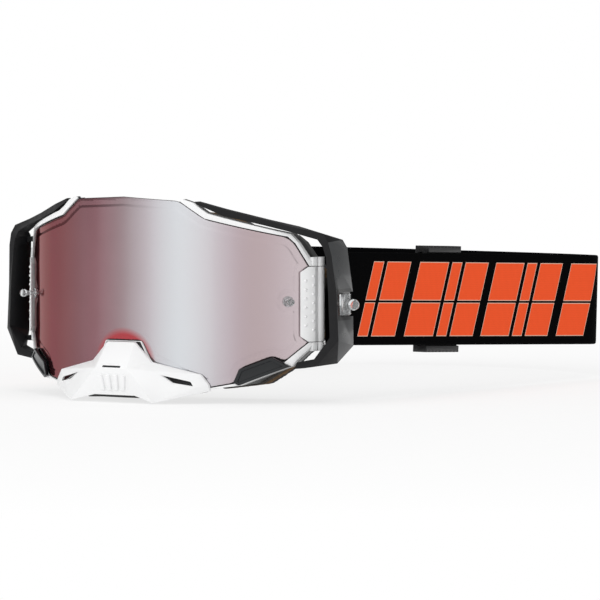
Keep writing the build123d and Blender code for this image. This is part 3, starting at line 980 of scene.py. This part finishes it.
class GOGGLES_OT_stage(bpy.types.Operator):
    """Floor, soft light and camera"""

    bl_idname = "goggles.stage"
    bl_label = "Stage"

    def execute(self, context):
        scene = context.scene
        scene.view_settings.view_transform = "Standard"
        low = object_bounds()[0].z
        floor_mesh = bpy.data.meshes.new("floor")
        ring = [(4 * cos(radians(a)), 4 * sin(radians(a)), low - 0.0006) for a in range(0, 360, 10)]
        floor_mesh.from_pydata(ring, [], [tuple(range(len(ring)))])
        floor = bpy.data.objects.new("floor", floor_mesh)
        scene.collection.objects.link(floor)
        floor_mesh.materials.append(self.floor_finish())
        floor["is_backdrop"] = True
        self.sky(scene)
        area_light("key", around(-16, 30, 1.7), (0, 0, 0), 0.9, 1.3, 5)
        area_light("side", around(-60, 24, 1.6), BEHIND, 0.8, 1.0, 2)
        area_light("top", (0, 0.05, 1.5), BEHIND, 1.4, 1.4, 11)
        camera_data = bpy.data.cameras.new("camera")
        camera_data.lens, camera_data.sensor_width = 497, 36
        camera = bpy.data.objects.new("camera", camera_data)
        scene.collection.objects.link(camera)
        place = around(VIEW_TURN, VIEW_RISE, VIEW_DISTANCE)
        camera.location = VIEW_TARGET + place
        camera.rotation_euler = place.to_track_quat("Z", "Y").to_euler()
        scene.camera = camera
        return DONE

    def floor_finish(self):
        """A pale matt floor that fades into the white round it."""
        material = moulded("floor_finish", tuple(colours().floor), 0.85, grain=300.0, shade=0.99)
        g = Graph(material.node_tree)
        reach = g.add("ShaderNodeVectorMath")
        reach.operation = "LENGTH"
        g.feed(reach.inputs[0], g.coords.outputs["Object"])
        fade = g.spread(reach.outputs["Value"], 0.74, 1.0, 0.2, 0.75)
        glow = g.add("ShaderNodeEmission", Color=(1, 1, 1, 1))
        shown = g.blend(fade, g.nodes["Principled BSDF"], glow)
        g.feed(g.nodes["Material Output"].inputs["Surface"], shown)
        return material

    def sky(self, scene):
        """White to the eye, and brighter in front than to the right in reflections."""
        world = bpy.data.worlds.new("soft_box")
        scene.world = world
        world.use_nodes = True
        world.node_tree.nodes.clear()
        g = Graph(world.node_tree)
        toward = g.add("ShaderNodeVectorMath")
        toward.operation = "DOT_PRODUCT"
        g.feed(toward.inputs[0], g.coords.outputs["Generated"])
        g.feed(toward.inputs[1], around(24, 8, 1.0))
        strength = g.spread(toward.outputs["Value"], 0.33, 1.05, 0.1, 0.97)
        strength.node.interpolation_type = "SMOOTHSTEP"
        lit = g.add("ShaderNodeBackground", Color=(1, 1, 1, 1), Strength=strength)
        seen = g.add("ShaderNodeBackground", Color=(1, 1, 1, 1))
        path = g.add("ShaderNodeLightPath")
        pick = g.blend(path.outputs["Is Camera Ray"], lit, seen)
        g.add("ShaderNodeOutputWorld", Surface=pick)


class GOGGLES_OT_lens(bpy.types.Operator):
    """Mirrored lens with a stepped border, and its seal"""

    bl_idname = "goggles.lens"
    bl_label = "Lens"

    def execute(self, context):
        s = sizes()
        place = lens_place()
        loops = front_loops("lens", place, place[0])
        outline = soft_corners(turned_left(loops[0]), s.lens_corner)
        lift = stepped(s.lens_border, s.lens_ramp, s.lens_step, 0.0007, 0.0003)
        rows = (
            0.00012, 0.0003, 0.0005, 0.0007, s.lens_border - 0.0003, s.lens_border,
            s.lens_border + s.lens_ramp / 2, s.lens_border + s.lens_ramp,
            s.lens_border + s.lens_ramp + 0.0004,
        )
        piece = skin(
            "lens_shield", outline, loops[1:3], place, rows, lift, s.lens_grid, 0.0006,
            s.lens_wall, mirror_lens(), moulded("lens_rim", (0.02, 0.012, 0.013), 0.25), 0.0003,
        )
        settle(piece, "lens_unit", ["lens"])
        seal = moulded("seal_rubber", (0.012, 0.012, 0.012), 0.7)
        dressed("lens_gasket", seal, 0.00015, 1)
        return DONE


class GOGGLES_OT_lens_frame(bpy.types.Operator):
    """White frame round the lens"""

    bl_idname = "goggles.lens_frame"
    bl_label = "Lens frame"

    def execute(self, context):
        radius, axis = lens_place()
        # Painted shade: the white rim turns black behind the lens's front, where the gap round the lens
        # lies in shade.
        seat_shade = (radius - sizes().rim_shade_depth, axis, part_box("lens")[1].x + 0.0007)
        white = tuple(colours().white)
        shell = moulded("white_frame", white, 0.32, shade=0.97, coat=0.25, seat_shade=seat_shade)
        dressed("lens_frame", shell, sizes().shell_round)
        return DONE


class GOGGLES_OT_levers(bpy.types.Operator):
    """Release levers with raised grip dots, and their pins"""

    bl_idname = "goggles.levers"
    bl_label = "Release levers"

    def execute(self, context):
        s = sizes()
        shell = moulded("white_lever", tuple(colours().white), 0.38, shade=0.97)
        steel = moulded("pin_steel", (0.42, 0.42, 0.43), 0.3, specular=0.8)
        radius, axis = lens_place()
        for side, sign in SIDES:
            lever = dressed("lever_" + side, shell, 0.0007, 3)
            dressed("lever_pin_" + side, steel, 0.0001, 1)
            tree = surface_of(lever)
            low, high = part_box("lever_" + side)
            middle = (low.z + high.z) / 2 + 0.0006
            places, turns = [], []
            for turn, count in ((50.0, 6), (52.1, 7)):
                for i in range(count):
                    z = middle + (i - (count - 1) / 2) * s.dot_pitch
                    angle = radians(turn) * sign
                    outward = Vector((sin(angle), -cos(angle), 0))
                    start = Vector((0, axis, z)) + outward * (radius + 0.02)
                    hit, normal, _, _ = tree.ray_cast(start, -outward)
                    if hit is None:
                        raise RuntimeError("a grip dot missed the lever")
                    places.append(hit)
                    turns.append(facing(normal))
            dots = repeated(
                "lever_dots_" + side, places, turns, shell, "dot",
                Width=s.dot_radius, Depth=s.dot_radius, Height=s.dot_height,
            )
            settle(dots, "lever_" + side)
        return DONE


class GOGGLES_OT_outriggers(bpy.types.Operator):
    """Grey outriggers and the bars that hold the strap"""

    bl_idname = "goggles.outriggers"
    bl_label = "Outriggers"

    def execute(self, context):
        low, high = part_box("outrigger_post_left")
        socket = (low, high, 0.0026)
        shell = moulded("grey_shell", tuple(colours().grey), 0.3, coat=0.35, shade=0.85, socket=socket)
        bar = moulded("bar_black", tuple(colours().black), 0.45)
        # Painted shade: a darker copy of the grey for the outriggers' front, lower and inner faces, which
        # turn away from the light.
        dark = moulded("painted_shade_shell", tuple(colours().dark), 0.5, shade=0.85, specular=0.25)
        for side, sign in SIDES:
            piece = dressed("outrigger_" + side, shell, sizes().shell_round, 2, 26.0)
            piece.data.materials.append(dark)
            # Faces not turned squarely outwards get the painted shade.
            for face in piece.data.polygons:
                lit = face.normal.x * sign > 0.88 and face.normal.z > -0.45
                face.material_index = 0 if lit else 1
            dressed("strap_bar_" + side, bar, 0.0002, 1)
        return DONE


class GOGGLES_OT_clips(bpy.types.Operator):
    """Glossy clips on the lens frame's lower corners"""

    bl_idname = "goggles.clips"
    bl_label = "Lens clips"

    def execute(self, context):
        gloss = moulded("gloss_clip", tuple(colours().gloss), 0.16, coat=0.15, shade=0.8, specular=0.3)
        for side, _ in SIDES:
            dressed("lens_clip_" + side, gloss, 0.0004, 3)
        return DONE


class GOGGLES_OT_posts(bpy.types.Operator):
    """Clear posts for tear-off films"""

    bl_idname = "goggles.posts"
    bl_label = "Tear-off posts"

    def execute(self, context):
        clear = clear_plastic()
        for side, _ in SIDES:
            dressed("lens_post_" + side, clear, 0.0003)
        dressed("outrigger_post_left", clear, 0.0003)
        return DONE


class GOGGLES_OT_nose_guard(bpy.types.Operator):
    """Faceted nose guard with embossed ribs and a slot, and the insert behind it"""

    bl_idname = "goggles.nose_guard"
    bl_label = "Nose guard"

    def execute(self, context):
        s = sizes()
        shell = moulded("white_guard", tuple(colours().white), 0.36, shade=0.97)
        dark = moulded("insert_black", tuple(colours().black), 0.55)
        guard = dressed("nose_guard", shell, s.shell_round, 2, 4.0)
        dressed("nose_insert", dark, s.shell_round)
        tree = surface_of(guard)
        low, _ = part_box("nose_guard")
        places, turns = [], []
        for x in RIB_PLACES:
            hit, normal, _, _ = tree.ray_cast(Vector((x, low.y - 0.01, RIB_HEIGHT)), Vector((0, 1, 0)))
            if hit is None:
                raise RuntimeError("a rib missed the nose guard")
            places.append(hit)
            turns.append(facing(normal))
        ribs = repeated(
            "guard_ribs", places, turns, shell, "block", Width=0.0026, Depth=0.0078, Height=0.0022
        )
        for vertex in ribs.data.vertices:
            vertex.co.x *= 1 + (vertex.co.z - RIB_HEIGHT) * 22
        rounded(ribs, 0.00045, 3)
        settle(ribs, "nose_guard")
        hit, normal, _, _ = tree.ray_cast(Vector((0, low.y - 0.01, SLOT_HEIGHT)), Vector((0, 1, 0)))
        slot_strip = repeated(
            "guard_slot", [hit], [facing(normal)], dark, "block", Width=0.0104, Depth=0.001, Height=0.0003
        )
        rounded(slot_strip, 0.0001, 2)
        settle(slot_strip, "nose_guard")
        return DONE


class GOGGLES_OT_face_frame(bpy.types.Operator):
    """Soft inner frame with its vents"""

    bl_idname = "goggles.face_frame"
    bl_label = "Inner frame"

    def execute(self, context):
        rubber = moulded("frame_rubber", tuple(colours().rubber), 0.6, grain=1800.0)
        dressed("face_frame", rubber, 0.0003)
        return DONE


class GOGGLES_OT_foam(bpy.types.Operator):
    """Three layers of face foam, and the foam in the vents"""

    bl_idname = "goggles.foam"
    bl_label = "Foam"

    def execute(self, context):
        c, s = colours(), sizes()
        grey = open_foam("foam_cells", tuple(c.foam))
        brown = open_foam("brown_cells", tuple(c.foam_brown), 700.0)
        filter_cells = open_foam("filter_cells", (0.02, 0.02, 0.02), 600.0)
        soft_foam("face_foam", "foam_base", grey, s.foam_voxel, 6)
        soft_foam("comfort_foam", "foam_middle", brown, s.foam_voxel, 6)
        soft_foam("fleece_layer", "foam_fleece", fleece(), s.foam_voxel * 0.7, 4)
        for place in ("top", "bottom"):
            soft_foam(place + "_filter", "vent_foam_" + place, filter_cells, 0.0005, 2)
        return DONE


class GOGGLES_OT_strap(bpy.types.Operator):
    """Woven strap with printed bars, its stitching and its grip lines"""

    bl_idname = "goggles.strap"
    bl_label = "Strap"

    def execute(self, context):
        s = sizes()
        path, bar, turn = strap_path()
        total = path_length(path)
        tail = s.strap_tail + pi * turn
        finishes = (printed_strap(total, tail), plain_strap())
        strap, _ = webbing("strap_band", path, bar, s.strap_wall, s.strap_width, finishes, tail)
        settle(strap, BODY_OF["strap_webbing"], ["strap_webbing"])
        rubber = moulded("grip_silicone", (0.55, 0.06, 0.02), 0.35, grain=500.0)
        dressed("silicone_beads", rubber, 0.00038, 3)
        self.stitches(path, bar)
        return DONE

    def stitches(self, path, bar):
        """Two rows of stitches across the end of each tail."""
        s = sizes()
        thread = moulded("thread", (0.02, 0.02, 0.022), 0.7, grain=4000.0)
        places, turns = [], []
        count = int((s.strap_width - 0.004) / s.stitch_pitch)
        for end in (path[0], path[-1]):
            side = 1 if end[0] > 0 else -1
            for row in (0.004, 0.0062):
                for i in range(count):
                    z = bar.z - (count - 1) / 2 * s.stitch_pitch + i * s.stitch_pitch
                    x = end[0] - side * (s.strap_wall / 2 + 0.00005)
                    places.append(fallen(x, end[1] - row, z, bar))
                    turns.append(facing(Vector((-side, 0, 0))))
        piece = repeated(
            "tail_stitches", places, turns, thread, "dot",
            Width=0.00032, Depth=s.stitch_pitch * 0.42, Height=0.00022,
        )
        settle(piece, BODY_OF["strap_webbing"])


class GOGGLES_OT_sliders(bpy.types.Operator):
    """Toothed sliders on the strap"""

    bl_idname = "goggles.sliders"
    bl_label = "Sliders"

    def execute(self, context):
        black = moulded("slider_black", tuple(colours().black), 0.4)
        for side, _ in SIDES:
            dressed("strap_slider_" + side, black, sizes().fine_round)
        return DONE


PIECES = (
    GOGGLES_OT_stage, GOGGLES_OT_lens, GOGGLES_OT_lens_frame, GOGGLES_OT_levers,
    GOGGLES_OT_outriggers, GOGGLES_OT_clips, GOGGLES_OT_posts, GOGGLES_OT_nose_guard,
    GOGGLES_OT_face_frame, GOGGLES_OT_foam, GOGGLES_OT_strap, GOGGLES_OT_sliders,
)


class GOGGLES_PT_panel(bpy.types.Panel):
    """The pieces of the goggles, with their sizes and colours"""

    bl_idname = "GOGGLES_PT_panel"
    bl_label = "Motorcycle goggles"
    bl_space_type = "VIEW_3D"
    bl_region_type = "UI"
    bl_category = "Goggles"

    def draw(self, context):
        for operator in PIECES:
            self.layout.operator(operator.bl_idname)
        for group in (context.scene.goggles_sizes, context.scene.goggles_colours):
            column = self.layout.column(align=True)
            for name in group.__annotations__:
                column.prop(group, name)


CLASSES = (GogglesSizes, GogglesColours, *PIECES, GOGGLES_PT_panel)


def register():
    for cls in CLASSES:
        bpy.utils.register_class(cls)
    bpy.types.Scene.goggles_sizes = PointerProperty(type=GogglesSizes)
    bpy.types.Scene.goggles_colours = PointerProperty(type=GogglesColours)


def unregister():
    del bpy.types.Scene.goggles_colours
    del bpy.types.Scene.goggles_sizes
    for cls in reversed(CLASSES):
        bpy.utils.unregister_class(cls)


def main():
    register()
    for operator in PIECES:
        getattr(bpy.ops.goggles, operator.bl_idname.split(".")[1])()


if __name__ == "__main__":
    main()
